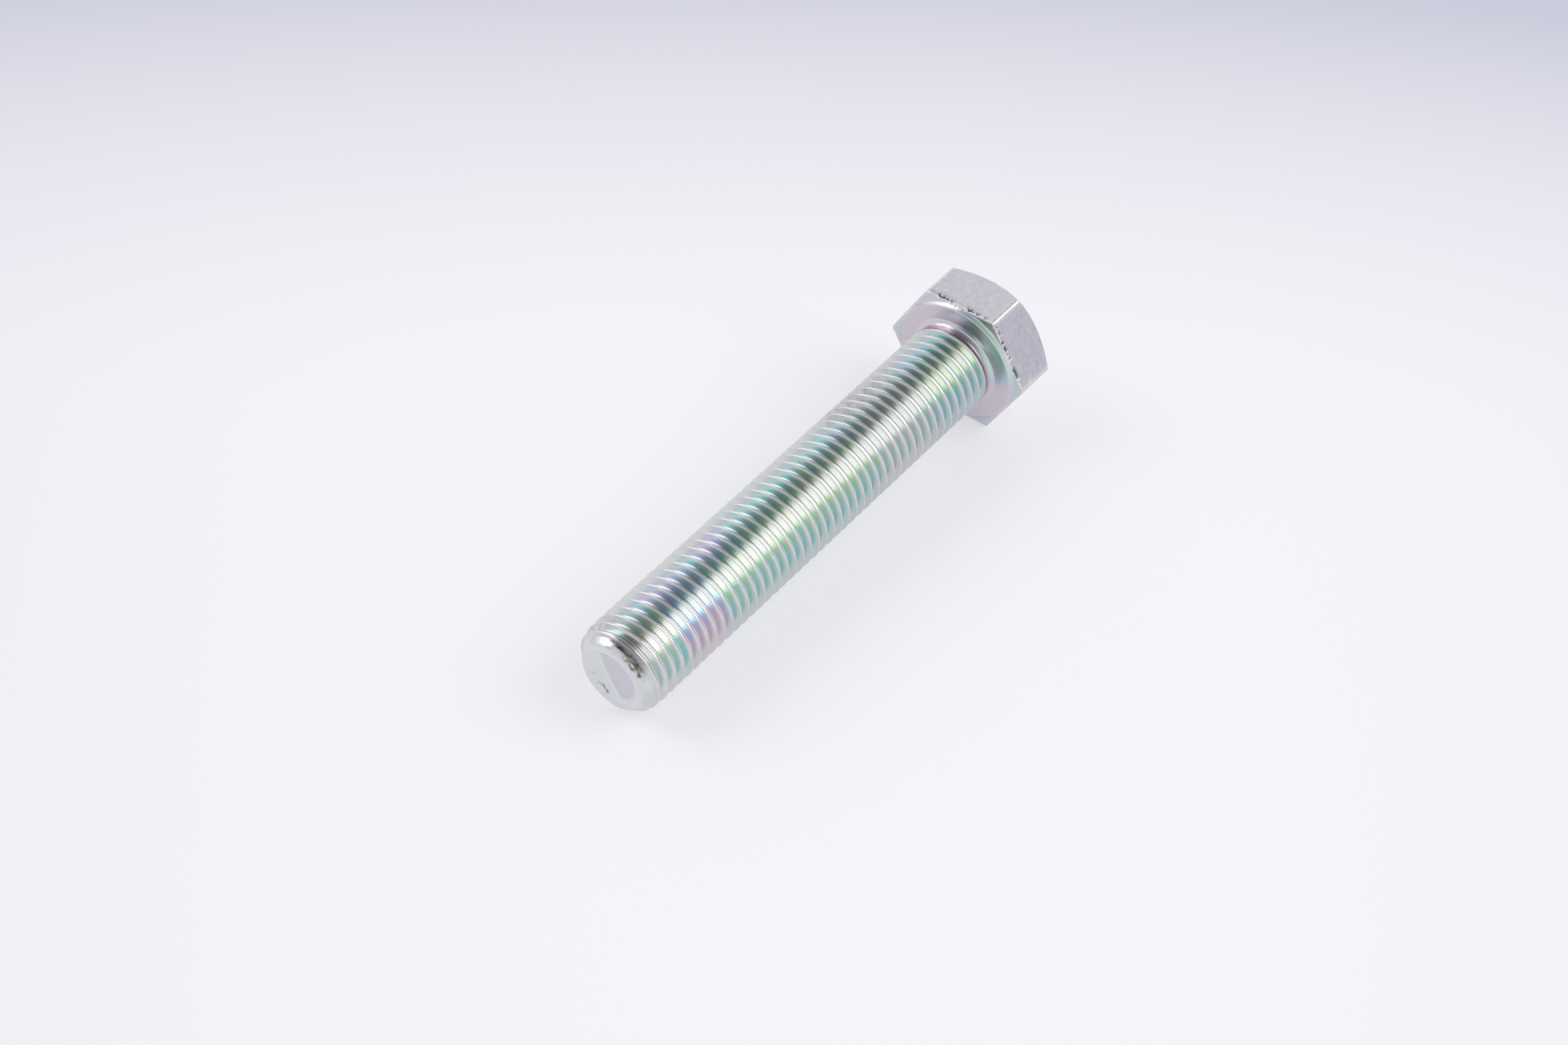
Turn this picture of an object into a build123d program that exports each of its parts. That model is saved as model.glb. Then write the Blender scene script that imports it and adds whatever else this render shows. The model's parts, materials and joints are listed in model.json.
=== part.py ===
from build123d import *
import math
import os

# Carrier roller bolt: an M16 x 90 hexagon set screw, zinc plated and threaded to the head.
# It is made as one piece: a forged and trimmed head on a wire shank that is pointed and thread rolled.
# Millimetres. Each form is made upright on the bolt's own axis, with the bearing face at z = 0, the
# head below it and the shank above, and the finished bolt is then laid down the way it comes to rest.

# Driving dimensions
THREAD_MAJOR = 15.86          # over the rolled crests, inside the 6g limits of M16
NOMINAL_LENGTH = 90.0         # bearing face to end face
ACROSS_FLATS = 23.7           # head for a 24 mm spanner
HEAD_HEIGHT = 10.0
WASHER_FACE = 22.4            # diameter of the bearing face

# Head details
WASHER_STEP = 0.6             # washer face above the corners of the hexagon
WASHER_RUNOUT = 23.6          # diameter at the foot of the step
TOP_CIRCLE = 21.3             # flat circle left by the chamfer on the head's top
CHAMFER_REACH = 27.8          # diameter, just past the corners, where the chamfer is measured
CHAMFER_RISE = 2.0            # height of the chamfer between those two diameters
CHAMFER_SAGITTA = 0.12        # how far the chamfer bulges out of its chord

# Neck and point
FILLET_RADIUS = 1.3           # under the head
NECK_DIAMETER = 14.9          # bare wire between the fillet and the first turn
NECK_END = 2.2                # height where the thread's run-out starts
RUNOUT_END = 3.0              # height of the first full crest
POINT_START = 87.0            # height of the last full crest
NOSE_START = 88.4             # height where the taper becomes the rounded nose
NOSE_DIAMETER = 14.8
NOSE_SAGITTA = 0.22           # how far the nose bulges out of its chord
END_FACE = 12.4               # diameter of the flat end
DISH_DIAMETER = 9.2           # shallow hollow left in the end by rolling
DISH_FLOOR = 7.6
DISH_DEPTH = 0.35


def hexagon():
    """Six-sided prism of the head, one flat facing along +X."""
    outline = RegularPolygon(ACROSS_FLATS / 2, side_count=6, major_radius=False, rotation=30)
    return Pos(0, 0, -HEAD_HEIGHT) * extrude(outline, HEAD_HEIGHT - WASHER_STEP)


def chamfer_envelope():
    """Solid of revolution, slightly domed, that trims the corners of the head's top."""
    top_edge = (TOP_CIRCLE / 2, -HEAD_HEIGHT)
    corner = (CHAMFER_REACH / 2, CHAMFER_RISE - HEAD_HEIGHT)
    outline = [
        Line((0, -HEAD_HEIGHT), top_edge),
        SagittaArc(top_edge, corner, -CHAMFER_SAGITTA),
        Polyline(corner, (CHAMFER_REACH / 2, 0), (0, 0), (0, -HEAD_HEIGHT)),
    ]
    return revolve(make_face(Plane.XZ * (Curve() + outline)), Axis.Z)


def washer_face():
    """Low round step that carries the bearing face proud of the hexagon."""
    outline = Polyline(
        (0, -WASHER_STEP),
        (WASHER_RUNOUT / 2, -WASHER_STEP),
        (WASHER_FACE / 2, 0),
        (0, 0),
        close=True,
    )
    return revolve(make_face(Plane.XZ * outline), Axis.Z)


def shank():
    """Turned outline of the shank: fillet, neck, thread over its crests, taper, nose and dished end."""
    neck = NECK_DIAMETER / 2
    crest = THREAD_MAJOR / 2
    nose = (NOSE_DIAMETER / 2, NOSE_START)
    end_edge = (END_FACE / 2, NOMINAL_LENGTH)
    outline = [
        Polyline((0, 0), (0, -WASHER_STEP), (neck + FILLET_RADIUS, -WASHER_STEP), (neck + FILLET_RADIUS, 0)),
        CenterArc((neck + FILLET_RADIUS, FILLET_RADIUS), FILLET_RADIUS, 180, 90),
        Polyline((neck, FILLET_RADIUS), (neck, NECK_END), (crest, RUNOUT_END), (crest, POINT_START), nose),
        SagittaArc(nose, end_edge, -NOSE_SAGITTA),
        Polyline(
            end_edge,
            (DISH_DIAMETER / 2, NOMINAL_LENGTH),
            (DISH_FLOOR / 2, NOMINAL_LENGTH - DISH_DEPTH),
            (0, NOMINAL_LENGTH - DISH_DEPTH),
            (0, 0),
        ),
    ]
    return revolve(make_face(Plane.XZ * (Curve() + outline)), Axis.Z)


def laid_down(bolt):
    """Turn the upright bolt onto a flat of its head and its last crest, centred over the origin."""
    drop = (ACROSS_FLATS - THREAD_MAJOR) / 2
    tilt = math.atan(drop / (POINT_START + WASHER_STEP))
    rest = Plane(
        origin=(0, 0, 0),
        x_dir=(-math.sin(tilt), 0, math.cos(tilt)),
        z_dir=(-math.cos(tilt), 0, -math.sin(tilt)),
    )
    bolt = rest.location * bolt
    box = bolt.bounding_box()
    return Pos(-box.center().X, -box.center().Y, -box.min.Z) * bolt


def hex_bolt():
    """The whole bolt as one solid, lying at rest on the plane z = 0."""
    head = hexagon() & chamfer_envelope()
    return laid_down(head + washer_face() + shank())


os.makedirs("parts", exist_ok=True)
export_step(hex_bolt(), "parts/hex_bolt.step")
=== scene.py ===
import json
import math

import bpy
import numpy as np
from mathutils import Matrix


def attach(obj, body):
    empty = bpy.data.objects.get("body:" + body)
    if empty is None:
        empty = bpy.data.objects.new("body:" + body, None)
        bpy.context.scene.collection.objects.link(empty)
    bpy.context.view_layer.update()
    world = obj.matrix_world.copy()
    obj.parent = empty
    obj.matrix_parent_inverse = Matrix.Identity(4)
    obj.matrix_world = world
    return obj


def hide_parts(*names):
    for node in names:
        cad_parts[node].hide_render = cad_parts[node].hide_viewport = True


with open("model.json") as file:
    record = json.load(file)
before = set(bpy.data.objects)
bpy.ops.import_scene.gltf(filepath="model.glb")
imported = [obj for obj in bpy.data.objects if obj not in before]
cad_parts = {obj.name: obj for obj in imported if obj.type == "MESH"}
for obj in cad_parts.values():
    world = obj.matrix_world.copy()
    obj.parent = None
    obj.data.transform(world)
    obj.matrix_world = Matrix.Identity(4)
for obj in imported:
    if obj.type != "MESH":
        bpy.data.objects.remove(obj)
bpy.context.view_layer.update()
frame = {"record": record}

# ------------------------------------------------------------------ the bolt
# One piece of cold-forged steel: a hexagon head trimmed by a die, a washer face and a fillet under
# it, and a shank with a rolled M16 x 2 thread up to the head. It is zinc plated all over and
# passivated, and it lies loose on its side, so nothing fixes it.
MM = 0.001
PITCH = 2.0
CREST_RADIUS = 7.93
THREAD_DEPTH = 1.15
CREST_LAND = 0.28
FLANK_SLOPE = math.tan(math.radians(60.0))
FIRST_CREST = 84.214
NECK_RADIUS = 7.45
NECK_END = 1.3
FILLET = 1.3
SEAT_FLAT = 10.95
WASHER_RADIUS = 11.25
WASHER_STEP = 0.6
WASHER_FOOT = 11.8
HALF_FLATS = 11.85
HEAD_HEIGHT = 10.0
TOP_RADIUS = 10.65
SEAT_RUN = -2.96
HEAD_RUN = -3.0               # the head's rings go on from here, one RING_RUN each
RING_RUN = 0.3
TOP_RUN = -14.0
DISH_END_RUN = 97.7
RUN_SCALE = 100.0             # the UV map keeps run over this, to stay near 1
SHANK_TURN = 2.0 * math.pi * CREST_RADIUS
NOSE_START = 88.4
NOSE_RADIUS = 7.62
NOSE_END = 90.6               # runs past the nose cover the end face, which lies at LENGTH
FACE_END = 93.05
LENGTH = 90.0
ROUND_FACE_RADIUS = 6.2
STEEP_FACE_RADIUS = 5.95
DISH_START = 4.95
SEAM_TURN = 210.0 / 360.0
SLUMP_TURN = 0.22
FURROW = 88.95
# Nose dents: run, turn, half length and half width in mm, depth in mm.
NOSE_DENTS = (
    (90.0, 0.083, 0.25, 0.5, 0.1), (90.2, 0.115, 0.25, 0.6, 0.1), (89.9, 0.15, 0.25, 0.5, 0.14),
    (88.9, -0.085, 0.15, 0.3, 0.06),
)
COLUMNS = 120
HEAD_SPLIT = 4

mounts = {mount["name"]: mount for mount in frame["record"]["mounts"]}
towards_tip = np.array(mounts["shank"]["axis"])
towards_tip = towards_tip / np.linalg.norm(towards_tip)
towards_top = np.array(mounts["spanner_flat_top"]["axis"])
towards_top = towards_top / np.linalg.norm(towards_top)
towards_side = np.cross(towards_top, towards_tip)
SHANK_MIDDLE = 45.0
seat_centre = np.array(mounts["shank"]["pos_m"]) - SHANK_MIDDLE * MM * towards_tip


def place(station, radius, turn):
    """A point is the seat's centre, plus station mm along the axis towards the tip, plus radius mm
    straight out from the axis at turn turns from the top flat, round over the near side."""
    angle = 2.0 * np.pi * turn[..., None]
    outward = np.cos(angle) * towards_top + np.sin(angle) * towards_side
    return seat_centre + MM * (station[..., None] * towards_tip + radius[..., None] * outward)


def eased(x, low, high):
    """Rises from 0 at low to 1 at high as 3 t squared less 2 t cubed."""
    t = np.clip((x - low) / (high - low), 0.0, 1.0)
    return t * t * (3.0 - 2.0 * t)


def waves(x, period, lengths, seed):
    """A wandering line of about -1 to 1 that repeats after period: sines of whole waves in the
    period, near each of the lengths, with drawn phases, summed and divided by their spread."""
    draw = np.random.default_rng(seed)
    counts = np.concatenate([period / length * draw.uniform(0.7, 1.4, 6) for length in lengths])
    phases = draw.uniform(0.0, 2.0 * np.pi, counts.size)
    angle = 2.0 * np.pi * np.round(counts) * (x[..., None] / period) + phases
    return np.sin(angle).sum(-1) / math.sqrt(counts.size)


def thread_fall(station, turn):
    """How far the rolled thread falls below its crest line, in mm. Distance from the crest line is
    the station, moved by one pitch a turn, folded into half a pitch. Flanks fall at the tangent of
    60 degrees past the land; soft minimum and maximum (logs of summed exponentials) round the land's
    edge and the root; a narrow bell sinks the seam that rolling leaves along the crest."""
    along = station + PITCH * turn - FIRST_CREST
    apart = np.abs((along + PITCH / 2.0) % PITCH - PITCH / 2.0)
    flank = (apart - CREST_LAND / 2.0) * FLANK_SLOPE
    edge, root = 0.03, 0.09
    flank = edge * np.logaddexp(flank / edge, 0.0)
    fall = -root * np.logaddexp(-flank / root, -THREAD_DEPTH / root)
    return fall + 0.022 * np.exp(-((apart / 0.04) ** 2))


def shank_line(run, steepness):
    """Station, radius and groove share for each run, a length that is the station along the thread.
    From the tip: a flat ring of the end face; a Bezier nose, blended from a round to a steep one by
    steepness; the crest line, which falls as a parabola to the nose and eases down to the neck; the
    plain neck; a quarter circle of fillet; and the flat seat. The groove share fades the thread out
    at both ends."""
    neck_foot = 1.25
    fillet_foot = neck_foot - 2.0
    crest = CREST_RADIUS - 0.31 * (np.clip(run - 86.6, 0.0, None) / 1.8) ** 2
    crest = NECK_RADIUS + (crest - NECK_RADIUS) * eased(run, NECK_END, 2.0)
    station, radius = run.copy(), crest
    t = np.clip((run - NOSE_START) / (NOSE_END - NOSE_START), 0.0, 1.0)
    round_nose = ((NOSE_START, NOSE_RADIUS), (88.5, 6.95), (89.4, 6.95), (LENGTH, ROUND_FACE_RADIUS))
    steep_nose = ((NOSE_START, NOSE_RADIUS), (89.2, 7.5), (89.45, 6.9), (LENGTH, STEEP_FACE_RADIUS))
    bends = ((1.0 - t) ** 3, 3.0 * t * (1.0 - t) ** 2, 3.0 * t**2 * (1.0 - t), t**3)
    on_nose = run > NOSE_START
    round_station, steep_station, round_radius, steep_radius = [
        sum(bend * point[axis] for bend, point in zip(bends, nose))
        for axis in (0, 1) for nose in (round_nose, steep_nose)
    ]
    station = np.where(on_nose, round_station + steepness * (steep_station - round_station), station)
    radius = np.where(on_nose, round_radius + steepness * (steep_radius - round_radius), radius)
    inward = np.clip((run - NOSE_END) / (FACE_END - NOSE_END), 0.0, 1.0)
    face = ROUND_FACE_RADIUS + steepness * (STEEP_FACE_RADIUS - ROUND_FACE_RADIUS)
    radius = np.where(run > NOSE_END, face + inward * (DISH_START + 0.05 - face), radius)
    angle = np.clip((neck_foot - run) / 2.0, 0.0, 1.0) * np.pi / 2.0
    in_fillet = run < neck_foot
    station = np.where(in_fillet, neck_foot * (1.0 - np.sin(angle)), station)
    radius = np.where(in_fillet, NECK_RADIUS + FILLET * (1.0 - np.cos(angle)), radius)
    out = np.clip((fillet_foot - run) / (fillet_foot - SEAT_RUN), 0.0, 1.0)
    seat = NECK_RADIUS + FILLET
    radius = np.where(run < fillet_foot, seat + out * (SEAT_FLAT - 0.05 - seat), radius)
    station = np.where(run < fillet_foot, 0.0, station)
    groove = eased(run, NECK_END, 2.4) * (1.0 - eased(run, 86.6, 88.7))
    return station, radius, groove


def shank_point(run, turn):
    """Shank line at this run, less the thread's fall times its groove share. On the crest it wanders
    by a few hundredths of a mm along the helix and has nicks. The nose is worn: lumps round it, a
    bell of slump on its far side, a furrow that widens towards the near side, and dents."""
    signed = (turn + 0.5) % 1.0 - 0.5
    station, radius, groove = shank_line(run, eased(signed, -0.03, 0.03) * (1.0 - eased(signed, 0.2, 0.3)))
    path = (np.floor((run + PITCH * turn) / PITCH) + turn) * SHANK_TURN
    fall = thread_fall(run, turn)
    on_crest = np.exp(-((fall / 0.12) ** 2))
    wander = 0.008 * waves(path, 2300.0, (2.0, 4.0, 9.0), 5) * on_crest
    nicks = np.clip(waves(path, 2300.0, (1.6, 2.6), 8) - 1.2, 0.0, 1.0) * 0.1 * on_crest
    period = 2.0 * np.pi * NOSE_RADIUS
    on_nose = eased(run, 87.6, 89.2) * (1.0 - eased(run, 90.4, 91.0))
    lumps = waves(turn * period + run * 0.8, period, (4.0, 8.0), 21)
    lumps = 0.012 * np.clip(1.0 + lumps, 0.0, 3.0) * on_nose
    slump = np.exp(-((((turn + SLUMP_TURN + 0.5) % 1.0 - 0.5) / 0.13) ** 2)) * (1.0 - eased(run, 90.6, 92.3))
    widening = eased(signed, -0.03, 0.07)
    furrow = np.exp(-(((station - FURROW) / (0.12 + 0.16 * widening)) ** 2)) * (0.14 + 0.16 * widening)
    furrow = furrow * eased(signed, -0.03, 0.01) * (1.0 - eased(signed, 0.1, 0.17)) * (run < NOSE_END)
    dents = sum(
        deep * np.exp(-(((run - at_run) / long) ** 2) - ((signed - at_turn) * period / wide) ** 2)
        for at_run, at_turn, long, wide, deep in NOSE_DENTS
    )
    station = station - 0.28 * slump * eased(run, 88.6, 90.6)
    worn = lumps + 0.25 * slump * eased(run, 84.8, 89.3) + furrow + dents
    return station, radius + wander - nicks - worn - groove * fall


# The shank's grid: rows follow the helix, columns run along the bolt. The first column goes on for
# one more pitch than the others, because the last column ends there.
ROW_STEPS = np.array([0.0, 0.07, 0.15, 0.22, 0.7, 0.8, 0.9, 1.0, 1.1, 1.2, 1.3, 1.78, 1.85, 1.93])
per_pitch = ROW_STEPS.size
pitches = np.arange(50)
top_run = FIRST_CREST - PITCH * SEAM_TURN + 5.0 * PITCH
row_run = (top_run - PITCH * pitches[:, None] - ROW_STEPS).ravel()
rows = int((row_run > -0.82).sum())
row_run = row_run[:rows + per_pitch]
column = np.arange(COLUMNS)
grid_run = row_run[:rows, None] - PITCH * column / COLUMNS
grid_turn = np.broadcast_to(SEAM_TURN + column / COLUMNS, grid_run.shape)
run_all = np.concatenate([grid_run.ravel(), row_run[rows:]])
turn_all = np.concatenate([grid_turn.ravel(), np.full(per_pitch, SEAM_TURN)])
station_all, radius_all = shank_point(run_all, turn_all)
shank_points = place(station_all, radius_all, turn_all)


def shank_vertex(i, j):
    """Number of the vertex at row i and column j. One turn on, the last column is the first
    column one pitch down; rows past the last belong to the tail of the first column."""
    i = i + per_pitch * (j // COLUMNS)
    j = j % COLUMNS
    return np.where(i < rows, i * COLUMNS + j, rows * COLUMNS + i - rows)


i, j = np.meshgrid(np.arange(rows - 1), np.arange(COLUMNS), indexing="ij")
quad_i = np.stack([i, i, i + 1, i + 1], -1).reshape(-1, 4)
quad_j = np.stack([j, j + 1, j + 1, j], -1).reshape(-1, 4)
shank_quads = shank_vertex(quad_i, quad_j)
shank_quad_turn = SEAM_TURN + quad_j / COLUMNS
shank_quad_run = row_run[quad_i] - PITCH * quad_j / COLUMNS


def end_dents(up, side):
    """Sum of bells, as a share of 1: the dents where the shear blade broke out of the end face."""
    spots = (
        (-3.3, -2.6, 0.32), (-3.25, -1.75, 0.36), (-4.15, -1.05, 0.34), (-3.75, -1.4, 0.3),
        (-1.6, -3.7, 0.4),
    )
    strengths = (0.8, 0.9, 1.0, 0.6, 0.25)
    return sum(
        strength * np.exp(-((up - at_up) ** 2 + (side - at_side) ** 2) / size**2)
        for strength, (at_up, at_side, size) in zip(strengths, spots)
    )


LENS_UP, LENS_SIDE, LENS_RADIUS = 8.2, 16.8, 19.6


def dish_depth(up, side):
    """Depth below the end face, in mm, at up and side mm from the axis: the shallow dish left by
    shearing is a circle with an eased wall; a far larger circle cuts a deeper lens in it, whose floor
    rises away from its wall and is drawn into fine ridges, straight and side by side."""
    rim = 1.0 - eased(np.hypot(up - 0.1, side - 0.15), 4.3, 4.9)
    away = np.hypot(up - LENS_UP, side - LENS_SIDE) - LENS_RADIUS
    lens = 1.0 - eased(away, -0.5, 0.3)
    across = 0.55 * up + 0.84 * side + 0.15 * np.sin(1.3 * up - side)
    ridges = 0.016 * waves(across, 40.0, (0.5, 0.8, 1.6), 41) * lens
    depth = rim * (0.13 + lens * (0.26 + 0.03 * away) + ridges)
    return depth + 0.16 * end_dents(up, side)


ring_radius = np.concatenate([[DISH_START], np.linspace(4.82, 0.35, 21)])
ring_turn = np.broadcast_to(SEAM_TURN + column / COLUMNS, (ring_radius.size, COLUMNS))
ring_r = np.broadcast_to(ring_radius[:, None], ring_turn.shape)
ring_up = ring_r * np.cos(2.0 * np.pi * ring_turn)
ring_side = ring_r * np.sin(2.0 * np.pi * ring_turn)
dish_points = place(LENGTH - dish_depth(ring_up, ring_side), ring_r, ring_turn).reshape(-1, 3)
dish_first = len(shank_points)


def ring_quads(first, count, width):
    """Quads between rings of width vertices each, one after another from first, and their corners'
    ring numbers and columns; the last column meets the first."""
    i, j = np.meshgrid(np.arange(count - 1), np.arange(width), indexing="ij")
    ring = np.stack([i, i, i + 1, i + 1], -1).reshape(-1, 4)
    place_in_ring = np.stack([j, j + 1, j + 1, j], -1).reshape(-1, 4)
    return first + ring * width + place_in_ring % width, ring, place_in_ring


dish_quads, dish_ring, dish_column = ring_quads(dish_first, ring_radius.size, COLUMNS)
dish_quads = dish_quads[:, ::-1]
dish_quad_turn = SEAM_TURN + dish_column[:, ::-1] / COLUMNS
dish_quad_run = FACE_END + (DISH_START - ring_radius[dish_ring[:, ::-1]])


def head_radius(turn):
    """Radius of the hexagon at this turn: half the width across flats over the power mean (power
    90) of the six flats' cosines, which leaves each corner rounded over about 0.8 mm."""
    flats = np.arange(6) / 6.0
    cosines = np.clip(np.cos(2.0 * np.pi * (turn[..., None] - flats)), 0.0, None)
    return HALF_FLATS * (cosines**90).sum(-1) ** (-1.0 / 90.0)


def softened(corners, reach, steps):
    """Rows along a line through corners, each an array of station and radius for every column. A
    corner with more than one step becomes a quadratic curve that leaves and rejoins its sides reach
    mm away, or under half of a short side."""
    lines = [corners[0][None]]
    for k in range(1, len(corners) - 1):
        here = corners[k]
        back, on = corners[k - 1] - here, corners[k + 1] - here
        back_length = np.linalg.norm(back, axis=-1, keepdims=True)
        on_length = np.linalg.norm(on, axis=-1, keepdims=True)
        start = here + back / back_length * np.minimum(reach[k], 0.45 * back_length)
        end = here + on / on_length * np.minimum(reach[k], 0.45 * on_length)
        t = np.linspace(0.0, 1.0, steps[k])[:, None, None]
        curve = (1.0 - t) ** 2 * start + 2.0 * t * (1.0 - t) * here + t**2 * end
        lines.append(curve if steps[k] > 1 else here[None])
    lines.append(corners[-1][None])
    return np.concatenate(lines)


# The head's rings: evenly spaced where they join the seat, then drawn together at the corners.
head_columns = COLUMNS * HEAD_SPLIT
even_turn = SEAM_TURN + np.arange(head_columns) / head_columns
corner_turn = even_turn - 0.5 * np.sin(12.0 * np.pi * (even_turn - 1.0 / 12.0)) / (12.0 * np.pi)
hexagon = head_radius(corner_turn)


def chamfer_rise(radius):
    """How far below the head's top the domed chamfer lies: half of the 1.2 power of the distance
    outside the top circle."""
    return 0.5 * np.clip(radius - TOP_RADIUS, 0.0, None) ** 1.2


def head_corner(station, radius):
    """Station and radius as one array with a pair for every head column."""
    return np.stack(np.broadcast_arrays(station, radius, hexagon)[:2], -1).astype(float)


under = -WASHER_STEP
chamfer_mid = (TOP_RADIUS + 0.67 * (hexagon - TOP_RADIUS), TOP_RADIUS + 0.33 * (hexagon - TOP_RADIUS))
flat_stations = (-0.78, -0.92, -1.06, -1.2, -1.36, -1.55, -1.8, -2.3, -4.5, -6.6)
head_line = [
    (0.0, SEAT_FLAT + 0.07, 0.0, 1),
    (0.0, WASHER_RADIUS, 0.2, 3),
    (under, WASHER_FOOT, 0.3, 4),
    (under, WASHER_FOOT + 0.5 * (hexagon - WASHER_FOOT), 0.0, 1),
    (under, WASHER_FOOT + 0.85 * (hexagon - WASHER_FOOT), 0.0, 1),
    (under, hexagon, 0.12, 3),
    *((station, hexagon, 0.0, 1) for station in flat_stations),
    (chamfer_rise(hexagon) - HEAD_HEIGHT, hexagon, 0.15, 3),
    *((chamfer_rise(radius) - HEAD_HEIGHT, radius, 0.0, 1) for radius in chamfer_mid),
    (-HEAD_HEIGHT, TOP_RADIUS, 0.15, 3),
    (-HEAD_HEIGHT, 10.0, 0.0, 1),
    (-HEAD_HEIGHT, 5.0, 0.0, 1),
    (-HEAD_HEIGHT, 1.0, 0.0, 1),
]
head_rows = softened(
    [head_corner(station, radius) for station, radius, _, _ in head_line],
    [reach for _, _, reach, _ in head_line],
    [steps for _, _, _, steps in head_line],
)
head_count = len(head_rows)
head_turn = np.broadcast_to(corner_turn, (head_count, head_columns)).copy()
head_turn[0] = even_turn
head_station, head_out = head_rows[..., 0], head_rows[..., 1]

# Torn edges: trimming tears a broken groove into the flats just behind their bearing-side edge and
# leaves a ragged lip there. The girth runs on from flat to flat, so that the tears do too.
GIRTH = 12.0 * HALF_FLATS * math.tan(math.pi / 6.0)
flat_number = np.round(head_turn * 6.0)
off_flat = 2.0 * np.pi * (head_turn - flat_number / 6.0)
girth = (flat_number + 0.5) * GIRTH / 6.0 + HALF_FLATS * np.tan(off_flat)
on_flat = np.exp(-((np.clip(hexagon - head_out, 0.0, None) / 0.05) ** 2))
tear_line = -1.14 + 0.1 * waves(girth, GIRTH, (5.0, 12.0), 3) + 0.08 * waves(girth, GIRTH, (0.8, 1.5), 4)
tear_depth = 0.5 + 0.4 * waves(girth, GIRTH, (0.6, 1.1, 2.1), 11) + 0.65 * waves(girth, GIRTH, (4.0, 9.0), 12)
tear_depth = np.clip(tear_depth, 0.06, 1.4)
clear_of_corner = 1.0 - np.exp(-((np.abs(off_flat) - np.pi / 6.0) / 0.05) ** 2)
tear = tear_depth * np.exp(-(((head_station - tear_line) / 0.27) ** 2)) * on_flat * clear_of_corner
near_edge = np.exp(-(((head_station + WASHER_STEP) / 0.25) ** 2))
near_edge = near_edge * np.exp(-((hexagon - head_out) / 0.25) ** 2)
ragged = waves(girth, GIRTH, (0.6, 0.9, 2.0), 17)
rough_lip = waves(girth, GIRTH, (0.6, 1.1, 2.5), 29)
at_corner = np.exp(-(((np.abs(off_flat) - np.pi / 6.0) / 0.018) ** 2)) * on_flat
corner_nicks = 0.025 * at_corner * waves(head_station, 40.0, (0.8, 1.7), 31)
head_out = head_out - 0.24 * tear + 0.03 * (ragged - 1.0) * near_edge + corner_nicks
head_out = np.minimum(head_out, hexagon)
head_station = head_station + 0.035 * rough_lip * near_edge
head_points = place(head_station, head_out, head_turn).reshape(-1, 3)
head_first = dish_first + len(dish_points)
head_quads, head_ring, head_column = ring_quads(head_first, head_count, head_columns)
head_turns = np.concatenate([head_turn, head_turn[:, :1] + 1.0], axis=1)
head_quad_turn = head_turns[head_ring, head_column]
head_quad_run = HEAD_RUN - head_ring * RING_RUN

# The seat ring closes the spiral on the flat seat, and the head's rings start from it.
seat_turn = SEAM_TURN + column / COLUMNS
seat_points = place(np.zeros(COLUMNS), np.full(COLUMNS, SEAT_FLAT), seat_turn)
seat_first = head_first + len(head_points)

# Faces beside the grids, all in one plane: a ring closes the spiral at each end, and its face at the
# seam takes in the step of one pitch; a ring joins coarse columns to fine ones; two discs close the
# dish and the head's top.
sheets = []


def add_faces(vertices, turns, runs):
    """Keeps faces with equal corner counts, one to a row, with each corner's turn and run."""
    sheets.append((vertices, np.broadcast_to(turns, vertices.shape), np.broadcast_to(runs, vertices.shape)))


pair = np.stack([column, column + 1], -1)
back_pair = pair[:, ::-1]
step = np.arange(per_pitch + 1)
down_seam = shank_vertex(step, np.zeros_like(step))
tip_row = shank_vertex(np.zeros_like(back_pair), back_pair)
tip_faces = np.concatenate([dish_first + pair % COLUMNS, tip_row], 1)
tip_turns = SEAM_TURN + np.concatenate([pair, back_pair], 1) / COLUMNS
tip_runs = np.concatenate([np.full(pair.shape, FACE_END), row_run[0] - PITCH * back_pair / COLUMNS], 1)
add_faces(tip_faces[:-1], tip_turns[:-1], tip_runs[:-1])
add_faces(
    np.concatenate([tip_faces[-1, :2], down_seam, tip_faces[-1, 3:]])[None],
    np.concatenate([tip_turns[-1, :2], np.full(per_pitch + 1, SEAM_TURN + 1.0), tip_turns[-1, 3:]])[None],
    np.concatenate([tip_runs[-1, :2], row_run[step], tip_runs[-1, 3:]])[None],
)
up_seam = shank_vertex(rows - 1 + step[::-1], np.zeros_like(step))
seat_row = shank_vertex(np.full_like(pair, rows - 1), pair)
seat_faces = np.concatenate([seat_row, seat_first + back_pair % COLUMNS], 1)
seat_turns = SEAM_TURN + np.concatenate([pair, back_pair], 1) / COLUMNS
seat_runs = np.concatenate([row_run[rows - 1] - PITCH * pair / COLUMNS, np.full(pair.shape, SEAT_RUN)], 1)
add_faces(seat_faces[1:], seat_turns[1:], seat_runs[1:])
add_faces(
    np.concatenate([up_seam, seat_faces[0, 1:]])[None],
    np.concatenate([np.full(per_pitch + 1, SEAM_TURN), seat_turns[0, 1:]])[None],
    np.concatenate([row_run[rows - 1 + step[::-1]], seat_runs[0, 1:]])[None],
)
fine = HEAD_SPLIT * column[:, None] + np.arange(HEAD_SPLIT, -1, -1)
add_faces(
    np.concatenate([seat_first + pair % COLUMNS, head_first + fine % head_columns], 1),
    SEAM_TURN + np.concatenate([pair / COLUMNS, fine / head_columns], 1),
    HEAD_RUN,
)
dish_last = dish_first + (ring_radius.size - 1) * COLUMNS + column
add_faces(dish_last[None, ::-1], SEAM_TURN + column[None, ::-1] / COLUMNS, DISH_END_RUN)
top_last = head_first + (head_count - 1) * head_columns + np.arange(head_columns)
add_faces(top_last[None], corner_turn[None], TOP_RUN)

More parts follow.
